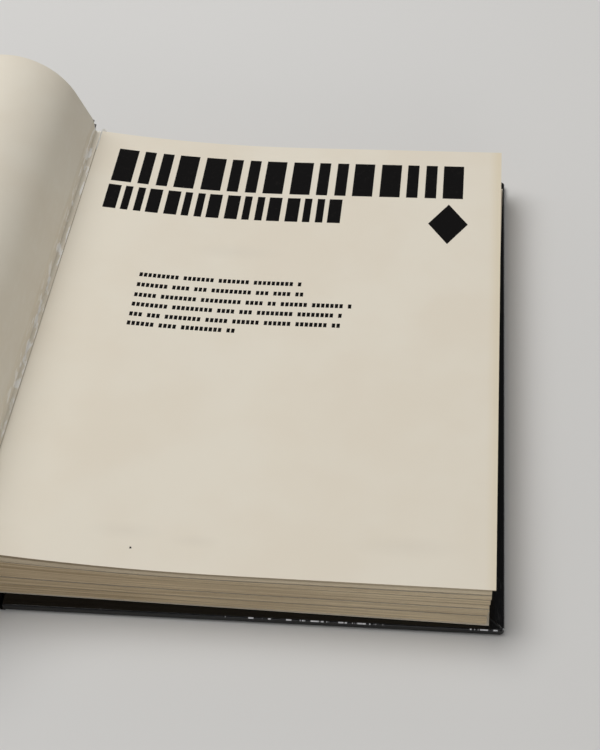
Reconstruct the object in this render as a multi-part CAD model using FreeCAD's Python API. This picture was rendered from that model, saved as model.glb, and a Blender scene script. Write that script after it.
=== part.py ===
import FreeCAD, Part
import math
import os

# A case-bound book that lies on its back cover, open at its first printed page.
# Millimetres. X runs from the spine to the fore edge, Y from the tail to the head, Z is up.
# The origin is the centre of the back cover's outer face, which rests on the table.

# Leaves
page_width = 168.0        # gutter to fore edge
page_height = 213.0       # tail to head
block_thickness = 18.6    # all the leaves together, at the fore edge
gutter_rise = 6.4         # how far the open page climbs at the gutter
lift_run = 85.0           # the part of the page next to the gutter that climbs
leaf = 0.28               # the top leaf, with the gap under it the same
leaf_overhang = 0.8       # how far the top leaf reaches past the leaves below
seam = 0.22               # height of the slit where two signatures stand apart
seam_depth = 0.9          # its depth behind the edge of the leaves
seam_levels = (0.23, 0.36, 0.43, 0.55, 0.70, 0.825)   # shares of the thickness, from the back
edge_play = 0.14          # how unevenly the signatures are knocked up
spine_round = 2.0         # how far the glued spine bulges
block_skew = -0.38        # degrees that the open page sits askew in the case
block_twist = -0.75       # degrees further askew that the back leaf sits

# Case
board = 2.2               # greyboard of both covers
skin = 0.3                # glossy covering
square = 3.6              # how far the covers reach past the leaves at head and tail
fore_square = 2.9         # the same at the fore edge
turn_in = 15.0            # covering folded over onto the inner face
shoulder = 3.0            # hinge line to gutter
joint_width = 8.5         # hinge line to board
joint_start = 0.4         # hinge line to the first of the cover's own covering
joint_slope = 2.4         # run of each side of the channel pressed into the joint
edge_round = 0.6          # outer edges of a cover
corner_round = 1.6        # corners of a cover, in plan
board_corner = 1.2        # corners of the board inside
spine_card = 0.8          # stiffener inside the covered spine
spine_bulge = 3.0         # how far the covered spine bulges
card_inset = 2.0          # hinge line to the stiffener's edge, along the curve
closing_gap = 0.4         # room between the page at the gutter and a closed front cover

# Endpapers
paper = 0.2
fold_gap = 0.05           # between the two halves of a closed endpaper
stem_offset = 0.75        # hinge line to the standing part of the front endpaper
foot_gap = 0.25           # between the foot of that part and the gutter
leaf_lean = 110.0         # heading of the raised flyleaf as it leaves the gutter, degrees
leaf_rise = 14.0          # straight part of the raised flyleaf
leaf_bend = 28.0          # radius of its crest
crest_fall = 10.0         # slope at which the crest passes into an easier bend, from the cover
leaf_ease = 130.0         # radius of that bend
leaf_rest = 0.3           # room left between its free edge and the pasted half

# Spine linings
mull = 0.3                # gauze glued to the spine
lining = 0.3              # paper over the gauze
band_tape = 0.35          # woven tape of the head and tail bands
band_bead = 0.9           # radius of their corded edge
band_length = 12.0        # tape glued to the spine
band_gap = 0.3            # between the tape and the gauze

# Worked out from the sizes above
cover_length = shoulder + page_width + fore_square
cover_height = page_height + 2 * square
cover_thickness = board + 2 * skin
lined_thickness = cover_thickness + paper
x_hinge = -cover_length / 2
x_gutter = x_hinge + shoulder
block_base = lined_thickness + fold_gap + paper
page_level = block_base + block_thickness
gutter_level = page_level + gutter_rise
hinge_top = gutter_level + closing_gap + lined_thickness
board_length = cover_length - skin - joint_width
board_height = cover_height - 2 * skin

V = FreeCAD.Vector
ORIGIN = V(0, 0, 0)
Y_AXIS = V(0, 1, 0)
Z_AXIS = V(0, 0, 1)


def at(x, z):
    """A point of the cross-section."""
    return V(x, 0, z)


def arc(start, middle, end):
    """An arc of the cross-section through three of its points."""
    return Part.Arc(start, middle, end).toShape()


def section(*edges):
    """The face that a closed run of edges bounds."""
    return Part.Face(Part.Wire(list(edges)))


def prism(face, low, high):
    """A section drawn out along Y, from low to high."""
    moved = face.copy()
    moved.translate(V(0, low, 0))
    return moved.extrude(V(0, high - low, 0))


def slab(x0, x1, y0, y1, z0, z1):
    """A rectangular solid between two corners."""
    return Part.makeBox(x1 - x0, y1 - y0, z1 - z0, V(x0, y0, z0))


def strip(path, thickness):
    """The section of a sheet that follows an open path of edges."""
    return Part.Wire(path).makeOffset2D(thickness, 0, True, True)


def heading(degrees):
    """Unit step in the cross-section, turned this far up from +X."""
    return at(math.cos(math.radians(degrees)), math.sin(math.radians(degrees)))


def walk(start, direction, legs):
    """Edges and end of a path of legs, each a length and the degrees it turns, left positive."""
    edges = []
    for length, turn in legs:
        if turn:
            radius = length / math.radians(turn)
            centre = start + heading(direction + 90) * radius
            middle = centre - heading(direction + turn / 2 + 90) * radius
            end = centre - heading(direction + turn + 90) * radius
            edges.append(arc(start, middle, end))
        else:
            end = start + heading(direction) * length
            edges.append(Part.makeLine(start, end))
        start, direction = end, direction + turn
    return edges, start


def joined(solids):
    """One clean solid from several that touch."""
    whole = solids[0].multiFuse(solids[1:]).removeSplitter()
    return whole.Solids[0] if len(whole.Solids) == 1 else whole


# Leaves

def lift(share):
    """The climb at the gutter of the leaf that lies at this share of the thickness."""
    return gutter_rise * share ** 1.5


def leaf_edges(share, x_fore):
    """The section of one leaf: flat from the fore edge, then an arc that climbs to the gutter."""
    level = block_base + share * block_thickness
    rise = lift(share)
    flat_end = at(x_gutter + lift_run, level)
    fore = at(x_fore, level)
    gutter = at(x_gutter, level + rise)
    if rise < 1e-6:
        return [Part.makeLine(fore, gutter)], fore, gutter
    radius = (lift_run ** 2 + rise ** 2) / (2 * rise)
    half = lift_run / 2
    middle = at(x_gutter + half, level + radius - math.sqrt(radius ** 2 - half ** 2))
    return [Part.makeLine(fore, flat_end), arc(flat_end, middle, gutter)], fore, gutter


def leaves(low_share, high_share, inset_fore, inset_tail, inset_head):
    """A run of leaves between two shares of the thickness, each edge set back by its inset.

    The outline turns about the middle of the page, the more the deeper the leaves lie.
    """
    x_far = x_gutter + page_width + cover_height
    below, far_low, gutter_low = leaf_edges(low_share, x_far)
    above, far_high, gutter_high = leaf_edges(high_share, x_far)
    face = section(*below, Part.makeLine(gutter_low, gutter_high), *reversed(above),
                   Part.makeLine(far_high, far_low))
    outline = slab(x_gutter - page_width, x_gutter + page_width - inset_fore,
                   inset_tail - page_height / 2, page_height / 2 - inset_head, 0, 2 * gutter_level)
    depth = 1 - (low_share + high_share) / 2
    outline.rotate(V(x_gutter + page_width / 2, 0, 0), Z_AXIS, block_twist * depth)
    return prism(face, -cover_height, cover_height).common(outline)


def text_block():
    """Every leaf as one solid: signatures knocked up a little unevenly, with slits between some."""
    top_leaf = 1 - leaf / block_thickness
    under_leaf = 1 - 2 * leaf / block_thickness
    slit = seam / block_thickness
    parts = [leaves(top_leaf, 1, 0, 0, 0),
             leaves(under_leaf, top_leaf, leaf_overhang + seam_depth, seam_depth, seam_depth)]
    floor = 0.0
    for number, level in enumerate(seam_levels + (under_leaf,)):
        last = level == under_leaf
        ceiling = level if last else level - slit / 2
        tail = edge_play * (1 + math.sin(2.4 * number))
        head = edge_play * (1 + math.cos(1.9 * number))
        parts.append(leaves(floor, ceiling, leaf_overhang + tail, tail, head))
        if not last:
            parts.append(leaves(ceiling, level + slit / 2, leaf_overhang + seam_depth,
                                seam_depth, seam_depth))
            floor = level + slit / 2
    parts.append(prism(section(spine_arc(), Part.makeLine(at(x_gutter, gutter_level),
                                                           at(x_gutter, block_base))),
                       -page_height / 2 + 2 * edge_play, page_height / 2 - 2 * edge_play))
    block = joined(parts)
    beside_band = [slab(x_gutter - 2 * spine_round, x_gutter + 2 * band_bead,
                        *sorted((end * page_height / 2, end * cover_height)), 0, 2 * gutter_level)
                   for end in (-1, 1)]
    return block.cut(beside_band)


def spine_circle():
    """Centre and radius of the rounded spine of the leaves."""
    half = (gutter_level - block_base) / 2
    radius = (half ** 2 + spine_round ** 2) / (2 * spine_round)
    return at(x_gutter - spine_round + radius, block_base + half), radius, math.asin(half / radius)


def on_circle(centre, radius, turn):
    """The point of a circle that lies at this turn above -X, in radians."""
    return centre + at(-radius * math.cos(turn), radius * math.sin(turn))


def spine_arc():
    """The rounded spine of the leaves, from the back one to the first."""
    centre, radius, half = spine_circle()
    return arc(*(on_circle(centre, radius, turn) for turn in (-half, 0, half)))


def curved_sheet(centre, outer, thickness, half):
    """The section of a sheet that bulges towards -X, as far as half a turn each way."""
    inner = outer - thickness
    low_out, mid_out, high_out = (on_circle(centre, outer, turn) for turn in (-half, 0, half))
    low_in, mid_in, high_in = (on_circle(centre, inner, turn) for turn in (-half, 0, half))
    return section(arc(low_out, mid_out, high_out), Part.makeLine(high_out, high_in),
                   arc(high_in, mid_in, low_in), Part.makeLine(low_in, low_out))


def spine_mull():
    """Gauze over the glued spine, between the two bands."""
    centre, radius, half = spine_circle()
    reach = page_height / 2 - band_length - band_gap
    return prism(curved_sheet(centre, radius + mull, mull, half), -reach, reach)


def spine_lining():
    """Paper strip over the gauze."""
    centre, radius, half = spine_circle()
    reach = page_height / 2 - band_length - band_gap
    return prism(curved_sheet(centre, radius + mull + lining, lining, half), -reach, reach)


def band(end):
    """Woven band at one end of the spine, 1 for the head and -1 for the tail."""
    centre, radius, half = spine_circle()
    edge = end * page_height / 2
    tape = prism(curved_sheet(centre, radius + band_tape, band_tape, half),
                 *sorted((edge - end * band_length, edge + end * band_bead)))
    bead = Part.makeTorus(radius - band_bead + band_tape, band_bead, ORIGIN, Y_AXIS)
    bead.translate(V(centre.x, edge + end * band_bead, centre.z))
    reach = 2 * radius
    wedge = Part.Face(Part.makePolygon([centre, on_circle(centre, reach, -half),
                                        on_circle(centre, reach, half), centre]))
    bead = bead.common(prism(wedge, edge - 3 * band_bead, edge + 3 * band_bead))
    return joined([tape, bead])


def askew(shape):
    """The leaves and what is glued to them sit a little askew in the case."""
    turned = shape.copy()
    turned.rotate(V(x_gutter + page_width / 2, 0, 0), Z_AXIS, block_skew)
    return turned


# Covered spine

def case_circle():
    """Centre, radius and half angle of the covered spine, which runs from hinge to hinge."""
    half = hinge_top / 2
    radius = (half ** 2 + spine_bulge ** 2) / (2 * spine_bulge)
    return at(x_hinge - spine_bulge + radius, half), radius, math.asin(half / radius)


def spine_board():
    """Card that stiffens the covered spine."""
    centre, radius, half = case_circle()
    face = curved_sheet(centre, radius - skin, spine_card, half - card_inset / radius)
    return prism(face, -board_height / 2, board_height / 2)


def spine_covering():
    """The spine's covering, turned in over the card at head and tail."""
    centre, radius, half = case_circle()
    card_half = half - card_inset / radius
    outside = prism(curved_sheet(centre, radius, skin, half), -cover_height / 2, cover_height / 2)
    parts = [outside]
    depth = spine_card + skin
    for end in (-1, 1):
        edge = end * cover_height / 2
        wall = prism(curved_sheet(centre, radius - skin, depth, card_half),
                     *sorted((edge - end * skin, edge)))
        fold = prism(curved_sheet(centre, radius - skin - spine_card, skin, card_half),
                     *sorted((edge - end * turn_in, edge)))
        parts += [wall, fold]
    return joined(parts)


# Covers, each drawn flat from its hinge line at the origin: outer face down, fore edge towards +X

def cover_board():
    """Greyboard of one cover."""
    plate = slab(joint_width, joint_width + board_length, -board_height / 2, board_height / 2,
                 skin, skin + board)
    corners = [e for e in plate.Edges
               if abs(e.tangentAt(e.FirstParameter).z) > 0.9 and e.CenterOfMass.x > joint_width + 1]
    return plate.makeFillet(board_corner, corners)


def joint_strip():
    """Covering between hinge line and board, pressed from outside into a round-sided channel."""
    depth = cover_thickness - skin
    side = (joint_slope ** 2 + depth ** 2) / (4 * depth)
    turn = math.degrees(2 * math.atan2(depth, joint_slope))
    bend = side * math.radians(turn)
    floor = joint_width - skin - joint_start - 2 * joint_slope
    legs = [(bend, turn), (bend, -turn), (floor, 0), (bend, -turn), (bend, turn),
            (edge_round + skin, 0)]
    edges, _ = walk(at(joint_start, 0), 0, legs)
    return prism(strip(edges, skin), -cover_height / 2, cover_height / 2)


def cover_covering():
    """Covering of one cover: outer face, wrapped edges and turn-ins, with the joint strip."""
    plate = slab(joint_width, cover_length, -cover_height / 2, cover_height / 2, 0, cover_thickness)
    corners = [e for e in plate.Edges
               if abs(e.tangentAt(e.FirstParameter).z) > 0.9 and e.CenterOfMass.x > joint_width + 1]
    plate = plate.makeFillet(corner_round, corners)
    rim = [e for e in plate.Edges
           if abs(e.tangentAt(e.FirstParameter).z) < 0.1 and e.CenterOfMass.x > joint_width + 1]
    plate = plate.makeFillet(edge_round, rim)
    window = slab(0, cover_length - turn_in, turn_in - cover_height / 2, cover_height / 2 - turn_in,
                  skin + board, 2 * cover_thickness)
    open_side = slab(0, joint_width, -cover_height, cover_height, skin, skin + board)
    skin_only = plate.cut([cover_board(), window, open_side])
    return joined([skin_only, joint_strip()])


def leaf_sheet(spine_end, low, high, twist):
    """A sheet as large and as askew as a leaf, from its spine end on, between two heights."""
    sheet = slab(spine_end - square, shoulder + page_width, -page_height / 2, page_height / 2,
                 low, high)
    middle = V(shoulder + page_width / 2, 0, 0)
    sheet.rotate(middle, Z_AXIS, twist)
    sheet = sheet.cut(slab(-cover_length, spine_end, -cover_height, cover_height, 0, 2 * high))
    sheet.rotate(middle, Z_AXIS, block_skew)
    return sheet


def pasted_half(spine_end, twist):
    """The half of an endpaper that is glued down: it sinks inside the frame of the turn-ins."""
    low = skin + board
    sheet = leaf_sheet(spine_end, low, lined_thickness, twist)
    inner = (joint_width, cover_length - turn_in)
    reach = cover_height / 2 - turn_in
    under = slab(-cover_length, 2 * cover_length, -cover_height, cover_height, low, cover_thickness)
    under = under.cut(slab(*inner, -reach, reach, low, cover_thickness))
    dip = slab(inner[0] + paper, inner[1] - paper, paper - reach, reach - paper,
               low + paper, lined_thickness)
    return sheet.cut([under, dip])


def back_endpaper():
    """A folded sheet: one half pasted to the cover, the other flat on it under the leaves."""
    free = leaf_sheet(shoulder, lined_thickness + fold_gap, block_base, block_twist)
    fold = leaf_sheet(shoulder, cover_thickness, block_base, block_twist)
    fold = fold.cut(leaf_sheet(shoulder + paper, cover_thickness, block_base, block_twist))
    return joined([pasted_half(shoulder, block_twist), free, fold])


# The front cover lies open on the table, its fore edge down

def open_slope():
    """How steeply the open front cover runs down to the table, in radians."""
    reach = cover_length - edge_round
    return math.atan2(edge_round, reach) + math.asin((hinge_top - edge_round)
                                                     / math.hypot(reach, edge_round))


def on_back(shape):
    """Place a flat-drawn cover piece as the closed back cover."""
    placed = shape.copy()
    placed.translate(at(x_hinge, 0))
    return placed


def on_front(shape):
    """Place a flat-drawn cover piece as the open front cover, inner face up."""
    placed = shape.copy()
    placed.rotate(ORIGIN, Z_AXIS, 180)
    placed.rotate(ORIGIN, Y_AXIS, -math.degrees(open_slope()))
    placed.translate(at(x_hinge, hinge_top))
    return placed


def leaf_legs(fall, length, down_slope):
    """Legs of the raised leaf: a straight rise, the crest, an easier bend of this turn, a fall."""
    over = down_slope + crest_fall - leaf_lean
    crest = leaf_bend * math.radians(over)
    ease = leaf_ease * math.radians(fall)
    return [(leaf_rise, 0), (crest, over), (ease, fall), (length - leaf_rise - crest - ease, 0)]


def raised_half():
    """The free half of the front endpaper: up from the gutter, over, and down to the cover.

    The turn of its easier bend is found by halving, so that its free edge just meets the cover.
    """
    x_stem = x_hinge + stem_offset + paper
    foot = at(x_gutter - band_tape, gutter_level + paper + foot_gap)
    heel = at(x_stem, gutter_level + 2 * paper + foot_gap)
    top = at(x_stem, hinge_top + lined_thickness)
    length = page_width - (top - heel).Length - (heel - foot).Length
    down_slope = 180 + math.degrees(open_slope())
    outward = heading(down_slope - 90)
    cover_face = at(x_hinge, hinge_top) + outward * lined_thickness
    low, high = 1.0, 60.0
    for _ in range(50):
        fall = (low + high) / 2
        edges, tip = walk(top, leaf_lean, leaf_legs(fall, length, down_slope))
        above = (tip - cover_face).dot(outward) - leaf_rest
        low, high = (fall, high) if above > 0 else (low, fall)
    path = [Part.makeLine(foot, heel), Part.makeLine(heel, top)] + edges
    return prism(strip(path, paper), -page_height / 2, page_height / 2)


def front_endpaper():
    """A folded sheet: one half pasted to the open cover, the other springing from the gutter."""
    slope = open_slope()
    to_stem = (stem_offset + paper + cover_thickness * math.sin(slope)) / math.cos(slope)
    beyond = slab(-cover_length, -to_stem, -cover_height, cover_height, 0, 2 * cover_thickness)
    pasted = pasted_half(-to_stem - square, 0).cut(beyond)
    return joined([on_front(pasted), raised_half()])


nodes = {
    "text_block": askew(text_block()),
    "spine_mull": askew(spine_mull()),
    "spine_lining": askew(spine_lining()),
    "head_band": askew(band(1)),
    "tail_band": askew(band(-1)),
    "spine_board": spine_board(),
    "spine_covering": spine_covering(),
    "back_board": on_back(cover_board()),
    "back_covering": on_back(cover_covering()),
    "back_endpaper": on_back(back_endpaper()),
    "front_board": on_front(cover_board()),
    "front_covering": on_front(cover_covering()),
    "front_endpaper": front_endpaper(),
}

os.makedirs("parts", exist_ok=True)
for name, shape in nodes.items():
    shape.exportStep(f"parts/{name}.step")
    box = shape.BoundBox
    print(f"{name}: {len(shape.Solids)} solid, valid {shape.isValid()}, {shape.Volume / 1000:.1f} cm3, "
          f"x {box.XMin:.2f}..{box.XMax:.2f} y {box.YMin:.2f}..{box.YMax:.2f} "
          f"z {box.ZMin:.2f}..{box.ZMax:.2f}")
print(f"hinge_top {hinge_top:.3f} slope {math.degrees(open_slope()):.3f} page_level {page_level:.2f}")
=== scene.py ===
# %% [markdown]
# A case-bound book, lying open at its first printed page.
#
# The book rests on its back cover. The front cover has been turned over to the left until its
# fore edge met the table, and the front flyleaf stands up from the gutter in an arch.
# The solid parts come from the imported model. This file gives them their finishes, replaces the
# folded endpapers by thin bent sheets, lays the print on the page and sets light and camera.

# %% The frame that everything is placed in
import bpy
import math
import numpy as np
from mathutils import Matrix, Vector


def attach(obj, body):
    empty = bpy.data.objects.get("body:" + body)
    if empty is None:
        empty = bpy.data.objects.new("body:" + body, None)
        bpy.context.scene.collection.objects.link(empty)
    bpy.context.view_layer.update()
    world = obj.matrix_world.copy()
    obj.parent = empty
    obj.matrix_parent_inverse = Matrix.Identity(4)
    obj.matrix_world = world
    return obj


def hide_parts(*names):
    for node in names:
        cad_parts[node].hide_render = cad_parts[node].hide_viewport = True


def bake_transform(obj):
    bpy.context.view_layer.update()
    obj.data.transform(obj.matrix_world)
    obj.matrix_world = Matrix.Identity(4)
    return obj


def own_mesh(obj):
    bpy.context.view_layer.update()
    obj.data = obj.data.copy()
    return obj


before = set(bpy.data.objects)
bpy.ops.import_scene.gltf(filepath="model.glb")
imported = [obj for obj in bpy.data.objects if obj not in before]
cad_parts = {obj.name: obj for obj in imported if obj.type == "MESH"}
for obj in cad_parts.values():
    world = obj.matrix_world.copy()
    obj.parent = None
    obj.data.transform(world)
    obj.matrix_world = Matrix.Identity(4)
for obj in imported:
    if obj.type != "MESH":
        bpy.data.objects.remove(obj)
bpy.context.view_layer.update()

# %% [markdown]
# The sizes of a bound book hang together: the covers are cut to the leaves plus a square, and
# the hinge lines follow from the covers. The few sizes that the sheets need are worked out here
# in millimetres in that order, the way a binder would, so the paper lands where the boards are.

# %% Sizes of the leaves and the case, in millimetres
MM = 0.001
page_width, page_height, block_thickness = 168.0, 213.0, 18.6
gutter_rise, lift_run = 6.4, 85.0
block_skew, block_twist = math.radians(-0.38), math.radians(-0.75)
square, fore_square, shoulder = 3.6, 2.9, 3.0
board, skin, paper, fold_gap = 2.2, 0.3, 0.2, 0.05
turn_in, joint_width, edge_round = 15.0, 8.5, 0.6
closing_gap, stem_offset, foot_gap, band_tape = 0.4, 0.75, 0.25, 0.35
cover_length = shoulder + page_width + fore_square
cover_height = page_height + 2 * square
cover_thickness = board + 2 * skin
lined_thickness = cover_thickness + paper
x_hinge = -cover_length / 2
x_gutter = x_hinge + shoulder
block_base = lined_thickness + fold_gap + paper
page_level = block_base + block_thickness
gutter_level = page_level + gutter_rise
hinge_top = gutter_level + closing_gap + lined_thickness
reach = cover_length - edge_round
slope = math.atan2(edge_round, reach) + math.asin((hinge_top - edge_round)
                                                  / math.hypot(reach, edge_round))
print(f"hinge lines at x {x_hinge:.2f}, page {page_level:.2f} up, "
      f"front cover slopes {math.degrees(slope):.2f} degrees")

# %% [markdown]
# A finish is a small network of nodes that ends in one shader. Writing each network out node by
# node is long, so a short helper adds the nodes. It keeps plain numbers on the shader's own
# sockets and links only what changes over the surface, so the finish survives an export.

# %% A helper that builds one finish
class Finish:
    """One material: patterns are added as nodes and joined to a single shader."""

    def __init__(self, name, roughness, specular=0.5):
        self.material = bpy.data.materials.new(name)
        self.material.use_nodes = True
        self.nodes = self.material.node_tree.nodes
        self.links = self.material.node_tree.links
        self.shader = self.nodes["Principled BSDF"]
        self.shader.inputs["Roughness"].default_value = roughness
        self.shader.inputs["Specular IOR Level"].default_value = specular
        self.place = self.nodes.new("ShaderNodeTexCoord")
        parts = self.nodes.new("ShaderNodeSeparateXYZ")
        self.links.new(self.place.outputs["Object"], parts.inputs[0])
        self.x, self.y, self.z = parts.outputs

    def feed(self, socket, source):
        """Link a node's output to a socket, or write a plain number or colour there."""
        if isinstance(source, bpy.types.NodeSocket):
            self.links.new(source, socket)
        else:
            socket.default_value = source

    def sum(self, kind, first, second=0.0, clamp=False):
        """One arithmetic step."""
        node = self.nodes.new("ShaderNodeMath")
        node.operation = kind
        node.use_clamp = clamp
        self.feed(node.inputs[0], first)
        self.feed(node.inputs[1], second)
        return node.outputs[0]

    def ramp(self, source, low, high, start=0.0, end=1.0):
        """A smooth step: start up to low, end from high on."""
        node = self.nodes.new("ShaderNodeMapRange")
        node.interpolation_type = "SMOOTHSTEP"
        self.feed(node.inputs["Value"], source)
        for name, value in (("From Min", low), ("From Max", high), ("To Min", start), ("To Max", end)):
            node.inputs[name].default_value = value
        return node.outputs["Result"]

    def stack(self, x, y, z):
        """A place made from three numbers."""
        node = self.nodes.new("ShaderNodeCombineXYZ")
        for socket, source in zip(node.inputs, (x, y, z)):
            self.feed(socket, source)
        return node.outputs[0]

    def stretch(self, scale):
        """Object coordinates, scaled along each axis."""
        node = self.nodes.new("ShaderNodeMapping")
        self.links.new(self.place.outputs["Object"], node.inputs["Vector"])
        node.inputs["Scale"].default_value = scale
        return node.outputs[0]

    def noise(self, scale, detail=2.0, vector=None, rough=0.5):
        """Cloudy pattern between 0 and 1."""
        node = self.nodes.new("ShaderNodeTexNoise")
        self.links.new(vector or self.place.outputs["Object"], node.inputs["Vector"])
        node.inputs["Scale"].default_value = scale
        node.inputs["Detail"].default_value = detail
        node.inputs["Roughness"].default_value = rough
        return node.outputs["Fac"]

    def mix(self, share, first, second):
        """Colour between two colours: sockets 6 and 7 take them, and output 2 gives it."""
        node = self.nodes.new("ShaderNodeMix")
        node.data_type = "RGBA"
        self.feed(node.inputs["Factor"], share)
        self.feed(node.inputs[6], opaque(first))
        self.feed(node.inputs[7], opaque(second))
        return node.outputs[2]

    def emboss(self, height, distance):
        """Bump from a height pattern; distance in metres."""
        node = self.nodes.new("ShaderNodeBump")
        node.inputs["Distance"].default_value = distance
        self.feed(node.inputs["Height"], height)
        self.links.new(node.outputs[0], self.shader.inputs["Normal"])

    def colour(self, source):
        """What colours the surface."""
        self.feed(self.shader.inputs["Base Color"], opaque(source))


def opaque(source):
    """A plain colour gets its fourth number; anything else is left as it is."""
    return (*source, 1.0) if isinstance(source, tuple) and len(source) == 3 else source


print("finish helper ready")

# %% [markdown]
# The cut edge of a thick block of leaves isn't one colour. Every leaf is cut a little
# differently and the paper has browned from its edges inwards, so fine pale and dark streaks
# run along it. Painted light makes the edge a little paler towards the fore edge, painted shade
# makes it darker towards the gutter, and a painted shadow darkens it just under the top leaf.
# The streaks must climb with the leaves towards the gutter. They could be painted on straight
# lines of height, but then they would run off the climbing page. Here each point first works
# out its own share of the thickness, from 0 at the back leaf to 1 at the open page, and the
# streaks follow that share.

# %% Leaves: open page, browned cut edges and glued spine
def leaf_share(finish):
    """Share of the thickness: height over the leaf's own climb.

    The climb towards the gutter is the rise times the square of how near the gutter is, and a
    leaf has the root of its share of that, so the share is worked out twice.
    """
    near = finish.sum("SUBTRACT", 1.0, finish.sum("DIVIDE", finish.sum("SUBTRACT", finish.x,
                      x_gutter * MM), lift_run * MM), clamp=True)
    climb = finish.sum("MULTIPLY", finish.sum("POWER", near, 2.0), gutter_rise * MM)
    height = finish.sum("SUBTRACT", finish.z, block_base * MM)
    first = finish.sum("DIVIDE", height, finish.sum("ADD", climb, block_thickness * MM), clamp=True)
    root = finish.sum("MULTIPLY", climb, finish.sum("SQRT", first))
    return finish.sum("DIVIDE", height, finish.sum("ADD", root, block_thickness * MM), clamp=True)


def soft_spot(finish, x, y, wide, high):
    """A soft round patch: 1 in its middle, 0 at its rim, placed by a Mapping node."""
    place = finish.nodes.new("ShaderNodeMapping")
    finish.links.new(finish.place.outputs["Object"], place.inputs["Vector"])
    scale = (1 / (wide * MM), 1 / (high * MM), 0.0)
    place.inputs["Scale"].default_value = scale
    place.inputs["Location"].default_value = (-x * MM * scale[0], -y * MM * scale[1], 0.0)
    ball = finish.nodes.new("ShaderNodeTexGradient")
    ball.gradient_type = "SPHERICAL"
    finish.links.new(place.outputs[0], ball.inputs[0])
    return ball.outputs["Fac"]


def leaves_finish():
    """Page on top, browned streaks on the three cut edges, dried glue on the spine.

    The edges are streaks, then patches, a paler band in the upper signatures and a painted
    shadow under the top leaf, each mixed over the last by its share of the thickness. Then
    painted light makes them paler towards the fore edge, and painted shade darker towards the gutter.
    """
    f = Finish("leaves_paper", 0.62, 0.3)
    share = leaf_share(f)
    along = [f.sum("MULTIPLY", axis, 16.0) for axis in (f.x, f.y)]
    fine = f.noise(1.0, 3.0, f.stack(f.sum("MULTIPLY", share, 230.0), *along), 0.7)
    broad = f.noise(1.0, 2.0, f.stack(f.sum("MULTIPLY", share, 34.0), *along))
    patch = f.noise(1.0, 2.0, f.stretch((14.0, 14.0, 60.0)))
    streak = f.sum("ADD", f.sum("MULTIPLY", fine, 0.55), f.sum("MULTIPLY", broad, 0.45))
    edge = f.mix(f.ramp(streak, 0.41, 0.59), (0.40, 0.285, 0.16), (0.86, 0.69, 0.455))
    edge = f.mix(f.ramp(patch, 0.40, 0.72, 0.0, 0.35), edge, (0.40, 0.285, 0.165))
    edge = f.mix(f.ramp(share, 0.82, 0.84, 0.0, 0.55), edge, (0.88, 0.77, 0.59))
    # painted shadow: the dark line just under the overhanging top leaf
    edge = f.mix(f.ramp(share, 0.915, 0.93, 0.0, 0.75), edge, (0.25, 0.18, 0.105))
    painted_light_towards_fore = f.ramp(f.x, x_gutter * MM, (x_gutter + page_width) * MM)
    painted_shade_towards_gutter = f.sum("SUBTRACT", 1.0, painted_light_towards_fore)
    # painted light: the cut edge paler towards the fore edge; painted shade: darker towards the gutter
    edge = f.mix(f.sum("MULTIPLY", painted_light_towards_fore, 0.34), edge, (0.98, 0.84, 0.60))
    edge = f.mix(f.sum("MULTIPLY", painted_shade_towards_gutter, 0.18), edge, (0.30, 0.22, 0.13))
    cloud = f.noise(28.0, 3.0)
    page = f.mix(f.ramp(cloud, 0.35, 0.7), (0.775, 0.715, 0.60), (0.755, 0.685, 0.565))
    fore = f.ramp(f.x, (x_gutter + page_width - 5.0) * MM, (x_gutter + page_width) * MM, 0.0, 0.55)
    page = f.mix(fore, page, (0.70, 0.60, 0.42))
    show_through = ((66.5, -64.9, 20, 5), (46.8, -198.3, 14, 4), (70.7, -200.5, 9, 3),
                    (139.2, -198.9, 20, 5))
    for x, y, wide, high in show_through:
        ghost = soft_spot(f, x_gutter + x, page_height / 2 + y, wide, high)
        page = f.mix(f.sum("MULTIPLY", ghost, 0.10), page, (0.45, 0.40, 0.34))
    facing = f.nodes.new("ShaderNodeSeparateXYZ")
    f.links.new(f.place.outputs["Normal"], facing.inputs[0])
    paper_colour = f.mix(f.ramp(facing.outputs["Z"], 0.6, 0.8), edge, page)
    glued = f.ramp(facing.outputs["X"], -0.8, -0.6, 1.0, 0.0)
    f.colour(f.mix(glued, paper_colour, (0.50, 0.41, 0.26)))
    fibre = f.noise(900.0, 4.0)
    cockle = f.noise(16.0, 1.0)
    on_edge = f.ramp(facing.outputs["Z"], 0.6, 0.8, 1.0, 0.0)
    relief = f.sum("ADD", f.sum("MULTIPLY", fibre, 0.06), f.sum("MULTIPLY", cockle, 1.6))
    f.emboss(f.sum("ADD", relief, f.sum("MULTIPLY", f.sum("MULTIPLY", fine, on_edge), 1.2)), 0.00012)
    return f.material


def dress(names, material):
    """Give each named solid its finish."""
    for name in names:
        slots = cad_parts[name].data.materials
        slots.clear()
        slots.append(material)


leaves_paper = leaves_finish()
dress(["text_block"], leaves_paper)
print("leaves", len(leaves_paper.node_tree.nodes), "nodes")
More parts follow.
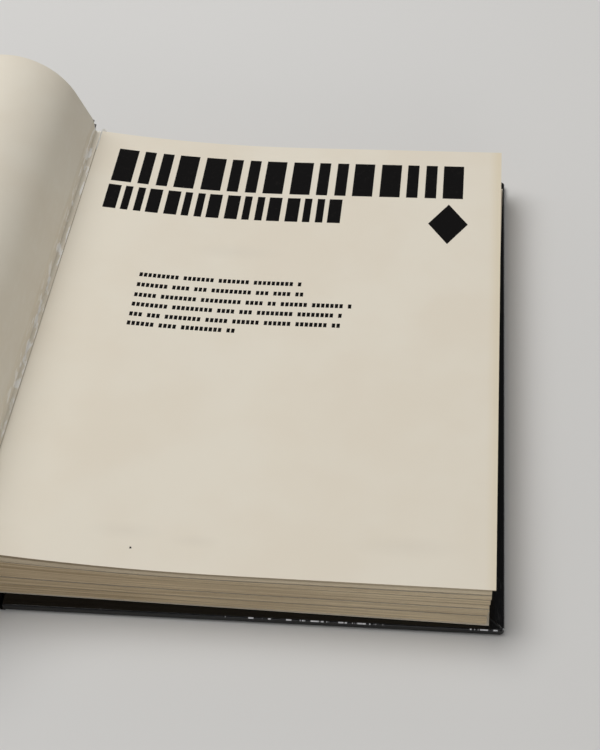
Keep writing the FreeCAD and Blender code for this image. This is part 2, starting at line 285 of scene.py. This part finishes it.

# %% [markdown]
# The case is covered in printed paper laminated with clear film: nearly black, with a mirror
# gloss that is never quite flat, because the glue and the grey board under it print through.
# One glossy number would look like plastic sheet. A very fine relief breaks the highlight along
# the rounded edges into short pieces, as on the real cover, and scuffs dull it here and there.
# At each outer corner the covering is folded over from two sides, which leaves a slanting crease.
# Along the rounded tail edge of the back cover, short pale specks in the film's colour are a
# painted highlight that stands for the broken white reflection there.

# %% Covering: black laminate with creased corners
def painted_rim_glints(f, facing_up):
    """Painted highlight on the rounded tail edge: short pale specks in two runs, for its broken
    reflection.
    """
    rim = f.sum("MULTIPLY", f.ramp(facing_up, 0.25, 0.45), f.ramp(facing_up, 0.86, 0.96, 1.0, 0.0))
    tail = f.ramp(f.y, (1 - cover_height / 2) * MM, (1.2 - cover_height / 2) * MM, 1.0, 0.0)
    middle_run = f.sum("MULTIPLY", f.ramp(f.x, -0.006, -0.003), f.ramp(f.x, 0.046, 0.049, 1.0, 0.0))
    runs = f.sum("MAXIMUM", middle_run, f.ramp(f.x, 0.074, 0.076))
    denser = f.ramp(f.x, 0.008, 0.018, 0.0, 0.055)
    grain = f.sum("ADD", f.noise(1.0, 3.0, f.stretch((330.0, 0.0, 0.0))), denser)
    speck = f.ramp(grain, 0.545, 0.59)
    return f.sum("MULTIPLY", f.sum("MULTIPLY", rim, tail), f.sum("MULTIPLY", runs, speck))


def laminate(name, run=1.0, painted_glints=False):
    """Black film with fine relief. run is how much X shortens a length along the cover."""
    f = Finish(name, 0.16, 0.32)
    scuff = f.ramp(f.noise(75.0, 5.0, rough=0.7), 0.58, 0.78)
    facing = f.nodes.new("ShaderNodeSeparateXYZ")
    f.links.new(f.place.outputs["Normal"], facing.inputs[0])
    film = f.mix(scuff, (0.0045, 0.0045, 0.005), (0.014, 0.013, 0.013))
    # painted highlight: pale specks on the rounded tail edge, for its broken reflection
    if painted_glints:
        film = f.mix(painted_rim_glints(f, facing.outputs["Z"]), film, (0.72, 0.72, 0.74))
    f.colour(film)
    f.feed(f.shader.inputs["Roughness"], f.sum("ADD", f.sum("MULTIPLY", scuff, 0.22), 0.13))
    from_hinge = f.sum("ABSOLUTE", f.sum("SUBTRACT", f.x, x_hinge * MM))
    to_fore = f.sum("SUBTRACT", cover_length * MM, f.sum("DIVIDE", from_hinge, run))
    to_side = f.sum("SUBTRACT", cover_height / 2 * MM, f.sum("ABSOLUTE", f.y))
    off_crease = f.sum("ABSOLUTE", f.sum("SUBTRACT", to_fore, to_side))
    inside = f.sum("MULTIPLY", f.ramp(facing.outputs["Z"], 0.7, 0.9),
                   f.ramp(to_fore, (turn_in - 1) * MM, turn_in * MM, 1.0, 0.0))
    crease = f.sum("MULTIPLY", inside, f.ramp(off_crease, 0.0001, 0.0005, 1.0, 0.0))
    dents = f.noise(260.0, 3.0)
    grain = f.noise(2600.0, 2.0)
    relief = f.sum("ADD", f.sum("MULTIPLY", dents, 0.8), f.sum("MULTIPLY", grain, 0.10))
    f.emboss(f.sum("SUBTRACT", relief, f.sum("MULTIPLY", crease, 0.5)), 0.00016)
    return f.material


covering_back = laminate("covering_laminate_back", painted_glints=True)
covering_front = laminate("covering_laminate_front", math.cos(slope))
covering_spine = laminate("covering_laminate_spine")
dress(["back_covering"], covering_back)
dress(["front_covering"], covering_front)
dress(["spine_covering"], covering_spine)
print("covering finishes", covering_back.name, covering_front.name, covering_spine.name)

# %% [markdown]
# Inside the case are materials that only show when a cover is turned back or the book is
# looked at from its end: grey board with flecks of recycled fibre, brown paper and gauze glued
# over the spine, and a two-coloured woven band at head and tail.
# The weaves are drawn with waves of the thread's own pitch, so they keep their scale.

# %% Board, spine lining, gauze and bands
def board_finish():
    """Grey recycled board: flecks on a felted ground."""
    f = Finish("grey_board", 0.85, 0.2)
    fleck = f.ramp(f.noise(1400.0, 3.0), 0.60, 0.72)
    ground = f.mix(f.noise(120.0, 4.0), (0.36, 0.345, 0.31), (0.46, 0.44, 0.40))
    f.colour(f.mix(fleck, ground, (0.22, 0.20, 0.17)))
    f.emboss(f.noise(1800.0, 3.0), 0.00008)
    return f.material


def kraft_finish():
    """Brown lining paper with long fibres along the spine."""
    f = Finish("kraft_lining", 0.75, 0.25)
    fibre = f.noise(1.0, 4.0, f.stretch((900.0, 90.0, 900.0)))
    f.colour(f.mix(f.ramp(fibre, 0.3, 0.7), (0.36, 0.25, 0.14), (0.52, 0.39, 0.25)))
    f.emboss(fibre, 0.00006)
    return f.material


def threads(f, axis, pitch):
    """A wave of one thread per pitch along an axis, 0 in the gaps and 1 on the threads."""
    turns = f.sum("MULTIPLY", axis, 2 * math.pi / (pitch * MM))
    return f.sum("ADD", f.sum("MULTIPLY", f.sum("SINE", turns), 0.5), 0.5)


def gauze_finish():
    """Open-woven gauze, stiff with glue."""
    f = Finish("glued_gauze", 0.8, 0.25)
    weave = f.sum("MAXIMUM", threads(f, f.y, 0.9), threads(f, f.z, 0.9))
    f.colour(f.mix(f.ramp(weave, 0.5, 0.9), (0.42, 0.36, 0.26), (0.76, 0.72, 0.62)))
    f.emboss(weave, 0.0002)
    return f.material


def band_finish():
    """Cotton band: narrow stripes wound round its cord, cream and grey in turn."""
    f = Finish("woven_band", 0.7, 0.3)
    stripes = threads(f, f.z, 1.5)
    twist = threads(f, f.sum("ADD", f.z, f.y), 0.35)
    f.colour(f.mix(f.ramp(stripes, 0.45, 0.55), (0.80, 0.78, 0.72), (0.34, 0.32, 0.30)))
    f.emboss(twist, 0.00012)
    return f.material


grey_board = board_finish()
dress(["back_board", "front_board", "spine_board"], grey_board)
dress(["spine_lining"], kraft_finish())
dress(["spine_mull"], gauze_finish())
dress(["head_band", "tail_band"], band_finish())
print("inner finishes dressed on 7 solids")

# %% [markdown]
# New pieces are sheets of paper. A sheet is a line in the cross-section carried along the
# height of the book, so its surface is a grid of two parameters: the way along the line, and
# the way from tail to head. The grid is computed as whole arrays, and a Solidify modifier
# gives it the thickness of the paper. The modifier's result is then written into the mesh,
# because a sheet that is later bent or pressed flat must carry its thickness with it.

# %% A grid of points becomes a sheet
def grid_faces(rows, columns):
    """Corner numbers of every square: a point, the next row's, the one beyond, and the neighbour."""
    row, column = np.meshgrid(np.arange(rows - 1), np.arange(columns - 1), indexing="ij")
    first = (row * columns + column).ravel()
    return np.stack([first, first + columns, first + columns + 1, first + 1], 1)


rim_angle = math.radians(50)


def sheet(name, points, finish, thickness, side=-1.0):
    """A sheet through a grid of points in millimetres; side is where its thickness goes.

    Edges sharper than rim_angle, which are those round the rim, aren't shaded smooth.
    """
    rows, columns = points.shape[:2]
    faces = grid_faces(rows, columns)
    mesh = bpy.data.meshes.new(name)
    mesh.from_pydata((points.reshape(-1, 3) * MM).tolist(), [], faces.tolist())
    mesh.polygons.foreach_set("use_smooth", np.ones(len(faces), bool))
    mesh.materials.append(finish)
    piece = bpy.data.objects.new(name, mesh)
    bpy.context.scene.collection.objects.link(piece)
    wall = piece.modifiers.new("paper", "SOLIDIFY")
    wall.thickness = thickness * MM
    wall.offset = side
    bpy.context.view_layer.update()
    seen = piece.evaluated_get(bpy.context.evaluated_depsgraph_get())
    piece.data = bpy.data.meshes.new_from_object(seen)
    piece.data.set_sharp_from_angle(angle=rim_angle)
    piece.modifiers.clear()
    print(f"{name}: {len(piece.data.polygons)} faces, {thickness} mm thick")
    return piece


def turned(x, y, middle, angle):
    """Points turned in plan about a middle on the X axis: cosine and sine of the angle."""
    across = x - middle
    return (middle + across * math.cos(angle) - y * math.sin(angle),
            across * math.sin(angle) + y * math.cos(angle))


def page_surface(x):
    """Height of the open page: flat near the fore edge, then a circle that climbs to the gutter."""
    radius = (lift_run ** 2 + gutter_rise ** 2) / (2 * gutter_rise)
    away = np.clip(x_gutter + lift_run - x, 0, None)
    return page_level + radius - np.sqrt(radius ** 2 - away ** 2)


print("page at gutter and fore edge", page_surface(np.array([x_gutter, 80.0])).round(2))

# %% [markdown]
# Endpaper is one folded sheet at each end of the book. It is a little heavier and whiter than
# the leaves. Its surface shows a felt of fibres, and where it springs from the gutter the glue
# has torn pale specks out of it, which are kept because the photograph shows them.

# %% Endpaper finishes
def endpaper_finish(name, torn=0.0):
    """Cream sheet with clouds and fibre; torn is how pale the torn fibre near the gutter is."""
    f = Finish(name, 0.62, 0.3)
    cloud = f.noise(32.0, 3.0)
    ground = f.mix(f.ramp(cloud, 0.3, 0.7), (0.765, 0.71, 0.60), (0.74, 0.675, 0.56))
    if torn:
        fray = f.ramp(f.noise(1.0, 4.0, f.stretch((500.0, 130.0, 500.0))), 0.50, 0.58, 0.0, torn)
        near_foot = f.ramp(f.z, (gutter_level + 2.0) * MM, (gutter_level + 6.0) * MM, 1.0, 0.06)
        ground = f.mix(f.sum("MULTIPLY", fray, near_foot), ground, (0.93, 0.91, 0.87))
    f.colour(ground)
    f.emboss(f.sum("ADD", f.sum("MULTIPLY", f.noise(900.0, 4.0), 0.08), f.noise(14.0, 1.0)), 0.00014)
    return f.material


endpaper_cream = endpaper_finish("endpaper_cream")
endpaper_torn = endpaper_finish("endpaper_torn_fold", 0.9)
print("endpaper finishes", endpaper_cream.name, endpaper_torn.name)

# %% [markdown]
# The raised flyleaf is the most telling shape of the open book. It stands up from the gutter,
# leans over, and comes down on the open cover, all with the length of one page. A spline drawn
# by eye would get that length wrong. Instead the path is walked in straight and bent runs, each
# with a length and a turn, and the turn of the easiest bend is found by halving until the free
# edge just reaches the cover.

# %% The path of the raised flyleaf
leaf_lean, leaf_rise, leaf_bend, crest_fall = 110.0, 14.0, 28.0, 10.0
leaf_ease, leaf_rest = 130.0, 0.3
walk_steps = 24
x_stem = x_hinge + stem_offset + paper
stem_top = hinge_top + lined_thickness
down_slope = 180 + math.degrees(slope)


def walk_path(start, direction, legs, steps=walk_steps):
    """Points along runs, each a length and a turn in degrees.

    The heading changes evenly along a run, and the place is the sum of small steps taken at
    the heading of each step's middle.
    """
    length = np.concatenate([np.full(steps, run / steps) for run, _ in legs])
    change = np.concatenate([np.full(steps, turn / steps) for _, turn in legs])
    ahead = np.radians(direction + np.cumsum(change) - change / 2)
    moves = np.stack([length * np.cos(ahead), length * np.sin(ahead)], 1)
    return np.vstack([[start], start + np.cumsum(moves, 0)])


def leaf_path(fall, length):
    """The leaf's runs: a straight rise, the crest, an easier bend of this turn, and the rest."""
    over = down_slope + crest_fall - leaf_lean
    crest = leaf_bend * math.radians(over)
    ease = leaf_ease * math.radians(fall)
    legs = [(leaf_rise, 0), (crest, over), (ease, fall), (length - leaf_rise - crest - ease, 0)]
    return walk_path(np.array([x_stem, stem_top]), leaf_lean, legs)


heel = gutter_level + 2 * paper + foot_gap
foot_run = math.hypot(x_gutter - band_tape - x_stem, paper)
leaf_length = page_width - (stem_top - heel) - foot_run
outward = np.array([math.cos(math.radians(down_slope - 90)), math.sin(math.radians(down_slope - 90))])
cover_face = np.array([x_hinge, hinge_top]) + outward * lined_thickness
low, high = 1.0, 60.0
for _ in range(40):
    fall = (low + high) / 2
    above = (leaf_path(fall, leaf_length)[-1] - cover_face) @ outward - leaf_rest
    low, high = (fall, high) if above > 0 else (low, fall)
leaf_line = leaf_path(fall, leaf_length)
print(f"easy bend turns {fall:.2f} degrees, crest {leaf_line[:, 1].max():.1f} mm up")

# %% [markdown]
# The leaf could stay one smooth tube-like arch, but a real sheet never does: its free corners
# relax and it ripples a little along its height. A small sideways wave, strongest well past
# the crest and none at both ends, is added along the sheet's own inward direction. When the
# cover closes, the real leaf bends flat against it; this piece rides with the front cover.
# Its first twelve millimetres belong to the fold at the gutter, which stays with the leaves.

# %% The raised flyleaf
def offset_line(line, distance):
    """A line moved to its left by a distance, along the turned direction of each step."""
    step = np.gradient(line, axis=0)
    left = np.stack([-step[:, 1], step[:, 0]], 1) / np.linalg.norm(step, axis=1)[:, None]
    return line + left * distance, left


ripple_pitch = 38


def arched_sheet(line, heights, ripple=0.0):
    """Grid of a line in the cross-section carried along the height of the book.

    The ripple is the size of a slow sine along the height, times the square of the share of
    the way, times four times the share that is left.
    """
    middle, left = offset_line(line, paper / 2)
    way = np.linspace(0, 1, len(line))[:, None]
    wave = np.abs(ripple * way ** 2 * (1 - way) * 4 * np.sin(heights[None, :] / ripple_pitch + 3 * way))
    x = middle[:, :1] - left[:, :1] * wave
    z = middle[:, 1:] - left[:, 1:] * wave
    return np.stack([x, np.broadcast_to(heights, x.shape), z], 2)


heights = np.linspace(-page_height / 2, page_height / 2, 61)
free_from = 21
leaf_ripple, pressed_lift = 1.6, 0.03
print(f"the free part starts {leaf_rise * free_from / walk_steps:.1f} mm up the straight rise")
front_flyleaf = sheet("front_flyleaf", arched_sheet(leaf_line[free_from:], heights, leaf_ripple),
                      endpaper_cream, paper, 0.0)
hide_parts("front_endpaper")
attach(front_flyleaf, "front_cover")
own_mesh(front_flyleaf)

# %% [markdown]
# The half of the endpaper that is glued down follows the board. Round its rim it lies over the
# turned-in covering, and inside that frame it sinks by the covering's thickness, which is how
# one sees through the paper where the turn-ins end. The step is made with two smooth ramps,
# one along the cover and one across it, multiplied. Paper bridges such an edge, so it starts
# to sink a little inside the frame.

# %% Sheets pasted to the covers
def step_lines(low, high, *marks):
    """Evenly spread grid lines, with close ones at each mark."""
    near = np.concatenate([mark + np.linspace(-3, 3, 13) for mark in marks])
    return np.unique(np.concatenate([np.linspace(low, high, 40), near[(near > low) & (near < high)]]))


def rise_at(value, low, high):
    """0 outside two marks, 1 between them, with a smooth step of one millimetre at each.

    The step is three times the square of the way across it, less twice the cube.
    """
    up = np.clip((value - low) + 0.5, 0, 1)
    down = np.clip((high - value) + 0.5, 0, 1)
    return (up * up * (3 - 2 * up)) * (down * down * (3 - 2 * down))


bridge, pasted_from = 1.0, 0.6


def pasted_grid(start, twist, cut_straight):
    """Cover coordinates of the pasted sheet: along, across, and height over the outer face.

    The sheet is turned by the twist; cut_straight keeps its first edge along the hinge.
    """
    window = cover_height / 2 - turn_in
    along = step_lines(start, shoulder + page_width, joint_width, cover_length - turn_in)
    across = step_lines(-page_height / 2, page_height / 2, -window, window)
    u, v = np.meshgrid(along, across, indexing="ij")
    middle = shoulder + page_width / 2
    x, y = turned(u, v, middle, twist)
    if cut_straight:
        x[0] = start
    sink = rise_at(x, joint_width + bridge, cover_length - turn_in - bridge)
    sink = sink * rise_at(y, -window + bridge, window - bridge)
    return x, y, lined_thickness - skin * sink


def on_front_cover(u, v, w):
    """Cover coordinates turned over to the left and tipped down by the slope."""
    return np.stack([x_hinge - u * math.cos(slope) - w * math.sin(slope), -v,
                     hinge_top - u * math.sin(slope) + w * math.cos(slope)], 2)


u, v, w = pasted_grid(pasted_from, block_skew, True)
front_pastedown = sheet("front_pastedown", on_front_cover(u, v, w), endpaper_cream, paper)
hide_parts("front_endpaper")
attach(front_pastedown, "front_cover")

u, v, w = pasted_grid(shoulder + 1.0, block_skew + block_twist, False)
back_pastedown = sheet("back_pastedown", np.stack([u + x_hinge, v, w], 2), endpaper_cream, paper)
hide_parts("back_endpaper")
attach(back_pastedown, "back_cover")

# %% [markdown]
# At the gutter the front endpaper turns up between the leaves and the cover. That short
# standing strip stays with the leaves when the cover closes. At the back, the other endpaper's
# free half lies under the last leaf, and a narrow strip joins it to the pasted half. On the real
# book that strip bends when the cover is turned back. Its section is seven points, each a
# distance from the gutter and a height: along under the last leaf, down round the fold, and back
# on the cover.

# %% Folds at the two gutters
stem_line = np.vstack([np.linspace([x_gutter - band_tape, heel - paper], [x_stem, heel], 5)[:-1],
                       np.linspace([x_stem, heel], [x_stem, stem_top], 9),
                       leaf_line[1:free_from + 1]])
fold_grid = arched_sheet(stem_line, heights)
gutter_edge, _ = turned(x_gutter - band_tape, heights, x_gutter + page_width / 2, block_skew)
along_foot = np.linspace(1, 0, 5)[:, None]
fold_grid[:5, :, 0] = x_stem + (gutter_edge[None, :] - x_stem) * along_foot
front_fold = sheet("front_endpaper_fold", fold_grid, endpaper_torn, paper, 0.0)
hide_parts("front_endpaper")
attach(front_fold, "book_block")
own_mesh(front_fold)

to_stem = (stem_offset + paper + cover_thickness * math.sin(slope)) / math.cos(slope)
u, v = np.meshgrid(np.linspace(-to_stem + 0.1, pasted_from, 7), heights, indexing="ij")
gutter_strip = sheet("front_gutter_strip", on_front_cover(u, v, np.full(u.shape, lined_thickness)),
                     endpaper_cream, paper)
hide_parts("front_endpaper")
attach(gutter_strip, "book_block")
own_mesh(gutter_strip)

middle = x_gutter + page_width / 2
tail_reach = 0.4
reaching = np.where(heights < 0, heights * (1 + tail_reach / (page_height / 2)), heights)
u, v = np.meshgrid(np.linspace(x_gutter, x_gutter + page_width, 40), reaching, indexing="ij")
x, y = turned(u, v, middle, block_skew + block_twist)
back_flyleaf = sheet("back_flyleaf", np.stack([x, y, np.full(x.shape, block_base)], 2),
                     endpaper_cream, paper)
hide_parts("back_endpaper")
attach(back_flyleaf, "book_block")

fold_line = np.array([[1.2, block_base], [0.45, block_base], [0.0, block_base - 0.05],
                      [-0.1, block_base - 0.2], [0.0, lined_thickness], [0.5, lined_thickness],
                      [1.2, lined_thickness]])
fold_line = fold_line + np.array([0.1, -0.1])
u, v = np.meshgrid(fold_line[:, 0] + x_gutter, heights, indexing="ij")
x, y = turned(u, v, middle, block_skew + block_twist)
z = np.broadcast_to(fold_line[:, 1:], x.shape)
back_fold = sheet("back_endpaper_fold", np.stack([x, y, z], 2), endpaper_cream, 0.12, 0.0)
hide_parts("back_endpaper")
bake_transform(back_fold)

# %% [markdown]
# On the real case the covering is one sheet that runs over the spine and both covers. Where it
# bends, at the hinge line of the front cover, a narrow fold closes the slit between the two
# solids. A tube round the hinge line looks the same however far the cover is turned, so it
# needs no bending of its own. Its section is a circle with the covering's thickness as its
# radius, and the point turns once round it.

# %% Fold of the covering along the front hinge line
ring_steps, end_gap = 16, 0.2
turn = np.linspace(0, 2 * np.pi, ring_steps + 1)[:-1]
ring = np.stack([x_hinge + skin * np.cos(turn), hinge_top + skin * np.sin(turn)], 1)
ends = np.array([-1.0, 1.0]) * (cover_height / 2 - end_gap)
points = np.stack([np.repeat(ring[:, :1], 2, 1), np.tile(ends, (ring_steps, 1)),
                   np.repeat(ring[:, 1:], 2, 1)], 2)
first = np.arange(ring_steps) * 2
after = np.roll(first, -1)
walls = np.stack([first, first + 1, after + 1, after], 1).tolist()
caps = [first.tolist(), (first[::-1] + 1).tolist()]
fold_mesh = bpy.data.meshes.new("covering_fold")
fold_mesh.from_pydata((points.reshape(-1, 3) * MM).tolist(), [], walls + caps)
fold_mesh.polygons.foreach_set("use_smooth", np.ones(len(fold_mesh.polygons), bool))
fold_mesh.materials.append(covering_spine)
covering_fold = bpy.data.objects.new("covering_fold", fold_mesh)
bpy.context.scene.collection.objects.link(covering_fold)
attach(covering_fold, "book_block")
area = sum(face.area for face in fold_mesh.polygons) * 1e4
print(f"covering fold: {len(fold_mesh.polygons)} faces, {area:.1f} cm2")

# %% [markdown]
# The page carries a heading in two heavy rows, one large figure and six small lines. Their
# place, size and weight follow the real page, but no letter is drawn: the rows are plain bars,
# the figure is a diamond, and the lines are words made of small equal bars. The ink could be a
# pattern in the page's finish. Thin raised pieces were chosen because their edges stay sharp at
# any distance, and they follow the climb of the page through the same surface formula.

# %% Ink
def ink_finish():
    """Matte black printing ink that lets a little of the paper's felt through."""
    f = Finish("printing_ink", 0.8, 0.06)
    wear = f.ramp(f.noise(700.0, 3.0), 0.55, 0.8, 0.0, 0.5)
    f.colour(f.mix(wear, (0.005, 0.0045, 0.0045), (0.016, 0.014, 0.012)))
    f.emboss(f.noise(900.0, 3.0), 0.00002)
    return f.material


ink_lift, ink_thickness = 0.03, 0.02


def printed(name, blocks, squares):
    """Ink shapes on the page: each block is four corners, from the gutter and down from the head.

    A point inside a block is the corners' average, weighted by the shares along both sides.
    squares says into how many squares a block is cut, so that it follows the climb.
    """
    corners = np.array(blocks, float)
    s, t = np.meshgrid(np.linspace(0, 1, squares[0] + 1), np.linspace(0, 1, squares[1] + 1),
                       indexing="ij")
    weights = np.stack([(1 - s) * (1 - t), s * (1 - t), s * t, (1 - s) * t], 2).reshape(-1, 4)
    flat = np.einsum("pk,bkc->bpc", weights, corners)
    u, v = x_gutter + flat[..., 0], page_height / 2 + flat[..., 1]
    x, y = turned(u, v, x_gutter + page_width / 2, block_skew)
    points = np.stack([x, y, page_surface(u) + ink_lift], 2)
    one = grid_faces(squares[0] + 1, squares[1] + 1)
    faces = (one[None] + np.arange(len(corners))[:, None, None] * len(weights)).reshape(-1, 4)
    mesh = bpy.data.meshes.new(name)
    mesh.from_pydata((points.reshape(-1, 3) * MM).tolist(), [], faces.tolist())
    mesh.materials.append(printing_ink)
    piece = bpy.data.objects.new(name, mesh)
    bpy.context.scene.collection.objects.link(piece)
    layer = piece.modifiers.new("ink_layer", "SOLIDIFY")
    layer.thickness = ink_thickness * MM
    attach(piece, "book_block")
    print(f"{name}: {len(corners)} shapes, {len(faces)} squares")


printing_ink = ink_finish()

# %% Rows of bars, the diamond and the small lines
def block_row(left, top, bottom, wide, narrow, slot, gap, pairs):
    """Pairs of upright bars side by side, the wide one first in every other pair."""
    turn = np.arange(pairs) % 2 == 0
    widths = np.stack([np.where(turn, wide, narrow), np.where(turn, narrow, wide)], 1).ravel()
    spaces = np.tile([slot, gap], pairs)
    start = left + np.concatenate([[0.0], np.cumsum(widths + spaces)[:-1]])
    low, high = np.full(start.shape, bottom), np.full(start.shape, top)
    return np.stack([np.stack([start, low], 1), np.stack([start + widths, low], 1),
                     np.stack([start + widths, high], 1), np.stack([start, high], 1)], 1)


def word_line(left, right, top, bar_high, seed):
    """Small equal bars in words of two to nine bars, from a seeded row of word lengths."""
    words, wide, step, space = 14, 1.25, 1.72, 1.5
    lengths = np.random.default_rng(seed).integers(2, 10, words)
    first = np.concatenate([[0], np.cumsum(lengths * step + space)[:-1]])
    bars = np.concatenate([begin + step * np.arange(count) for begin, count in zip(first, lengths)])
    bars = left + bars[left + bars + wide <= right]
    low, high = np.full(len(bars), top - bar_high), np.full(len(bars), top)
    return np.stack([np.stack([bars, low], 1), np.stack([bars + wide, low], 1),
                     np.stack([bars + wide, high], 1), np.stack([bars, high], 1)], 1)


printed("print_upper_bars", block_row(9.3, -9.6, -29.7, 8.2, 4.6, 2.6, 2.9, 8), (3, 3))
printed("print_lower_bars", block_row(9.1, -32.0, -46.1, 5.2, 3.0, 1.8, 2.2, 8), (2, 3))
printed("print_diamond", [[[147.3, -56.3], [155.1, -44.8], [147.3, -33.2], [139.5, -44.8]]], (6, 6))
line_tops = (-80.2, -85.6, -91.0, -96.0, -101.1, -105.8)
line_ends = (93.6, 95.3, 113.6, 110.6, 109.6, 71.6)
lines = [word_line(30.6, end, top, 2.1, 7 + number)
         for number, (top, end) in enumerate(zip(line_tops, line_ends))]
printed("print_lines", np.concatenate(lines), (2, 1))
printed("ink_fleck", [[[50.2, -205.4], [50.9, -205.3], [50.8, -204.7], [50.3, -204.6]]], (1, 1))

# %% [markdown]
# The table is a plain pale floor. It should look pale to the camera and in reflections, yet
# not throw so much light back that the shaded edges of the leaves glow, so it answers those
# rays with a pale colour and all others with a middle grey. It still takes the book's shadow.

# %% Floor
def floor_finish():
    """Pale diffuse for what sees the floor directly, grey for light that bounces off it."""
    material = bpy.data.materials.new("pale_floor")
    material.use_nodes = True
    nodes, links = material.node_tree.nodes, material.node_tree.links
    nodes.clear()
    path = nodes.new("ShaderNodeLightPath")
    seen = nodes.new("ShaderNodeMath")
    seen.operation = "ADD"
    links.new(path.outputs["Is Camera Ray"], seen.inputs[0])
    links.new(path.outputs["Is Glossy Ray"], seen.inputs[1])
    total = nodes.new("ShaderNodeMath")
    total.operation = "ADD"
    total.use_clamp = True
    links.new(seen.outputs[0], total.inputs[0])
    links.new(path.outputs["Is Transmission Ray"], total.inputs[1])
    pale, grey = nodes.new("ShaderNodeBsdfDiffuse"), nodes.new("ShaderNodeBsdfDiffuse")
    pale.inputs["Color"].default_value = (0.70, 0.69, 0.67, 1.0)
    grey.inputs["Color"].default_value = (0.30, 0.295, 0.285, 1.0)
    either = nodes.new("ShaderNodeMixShader")
    links.new(total.outputs[0], either.inputs[0])
    links.new(grey.outputs[0], either.inputs[1])
    links.new(pale.outputs[0], either.inputs[2])
    links.new(either.outputs[0], nodes.new("ShaderNodeOutputMaterial").inputs["Surface"])
    return material


floor_reach, floor_drop = 6000.0, 0.02
spread = np.linspace(-floor_reach, floor_reach, 5)
fx, fy = np.meshgrid(spread, spread, indexing="ij")
floor_mesh = bpy.data.meshes.new("floor")
floor_points = np.stack([fx, fy, np.full(fx.shape, -floor_drop)], 2).reshape(-1, 3) * MM
floor_mesh.from_pydata(floor_points.tolist(), [], grid_faces(5, 5).tolist())
floor_mesh.materials.append(floor_finish())
floor = bpy.data.objects.new("floor", floor_mesh)
bpy.context.scene.collection.objects.link(floor)
print("floor", len(floor_mesh.polygons), "squares")

# %% [markdown]
# The photograph has soft light from above and behind on the left: the page is bright, while
# the tail edge of the leaves and the right face of the raised flyleaf are in shade. One large
# lamp gives that. A thin tube hangs overhead, and a weak low lamp in front keeps the browned
# edges from going grey. The broken white line along the rounded edge of the cover is a painted
# highlight in the back covering's colour. The room is dim overhead, so that the black covers
# stay black, and pale towards the horizon.

# %% Room and lamps
def room():
    """World colour by height of view: pale up to just over the horizon, dim overhead."""
    world = bpy.data.worlds.new("room")
    bpy.context.scene.world = world
    world.use_nodes = True
    nodes, links = world.node_tree.nodes, world.node_tree.links
    place = nodes.new("ShaderNodeTexCoord")
    parts = nodes.new("ShaderNodeSeparateXYZ")
    links.new(place.outputs["Generated"], parts.inputs[0])
    fade = nodes.new("ShaderNodeValToRGB")
    fade.color_ramp.elements[0].position = 0.12
    fade.color_ramp.elements[0].color = (0.76, 0.76, 0.75, 1.0)
    fade.color_ramp.elements[1].position = 0.62
    fade.color_ramp.elements[1].color = (0.12, 0.12, 0.124, 1.0)
    links.new(parts.outputs["Z"], fade.inputs[0])
    links.new(fade.outputs[0], nodes["Background"].inputs["Color"])
    nodes["Background"].inputs["Strength"].default_value = 1.0


def lamp(name, place, target, size, power):
    """A rectangular lamp at a place, turned so that its back is away from the target."""
    data = bpy.data.lights.new(name, "AREA")
    data.shape = "RECTANGLE"
    data.size, data.size_y = size
    data.energy = power
    light = bpy.data.objects.new(name, data)
    bpy.context.scene.collection.objects.link(light)
    light.location = place
    ahead = Vector(target) - Vector(place)
    light.rotation_euler = ahead.to_track_quat("-Z", "Y").to_euler()


room()
lamp("window_light", (-0.66, 0.50, 1.50), (0.0, 0.0, 0.0), (1.35, 0.9), 19.5)
lamp("ceiling_tube", (0.0, 0.16, 1.60), (0.0, 0.0, 0.0), (1.3, 0.12), 3.0)
lamp("front_fill", (0.25, -1.70, 0.45), (0.0, -0.1, 0.0), (1.2, 0.4), 3.5)
print("three lamps and a room that is pale at the horizon")

# %% [markdown]
# The camera looks down at the book from in front of the tail edge. Its place, direction and
# lens were found by matching the corners and edges of the solids to the photograph, so they are
# written as measured, and the lens shift puts the middle of the picture where it was.

# %% Camera
def look_through(place, right, up, ahead, focal, centre):
    """Camera from three unit directions; focal length and picture centre are in pixels.

    The sensor's width lies along the picture's longer side, which is its height.
    """
    data = bpy.data.cameras.new("photo_camera")
    camera = bpy.data.objects.new("photo_camera", data)
    bpy.context.scene.collection.objects.link(camera)
    wide, high, sensor = 600, 750, 36.0
    data.sensor_width = sensor
    data.lens = focal / high * sensor
    data.shift_x = (wide / 2 - centre[0]) / high
    data.shift_y = (centre[1] - high / 2) / high
    data.clip_start = 0.01
    data.clip_end = 50.0
    turn = np.stack([right, up, -np.array(ahead)], 1)
    rows = [[*turn[row], place[row]] for row in range(3)]
    camera.matrix_world = Matrix(rows + [[0, 0, 0, 1]])
    bpy.context.scene.camera = camera
    return camera


camera = look_through(place=(0.065926, -0.333074, 0.377117), right=(0.995466, 0.084829, -0.043018),
                      up=(-0.036307, 0.756940, 0.652475), ahead=(-0.087911, 0.647955, -0.756588),
                      focal=1329.116, centre=(329.896, 393.367))
bpy.context.scene.view_settings.view_transform = "Standard"
print(f"lens {camera.data.lens:.1f} mm, shift {camera.data.shift_x:.4f} {camera.data.shift_y:.4f}")
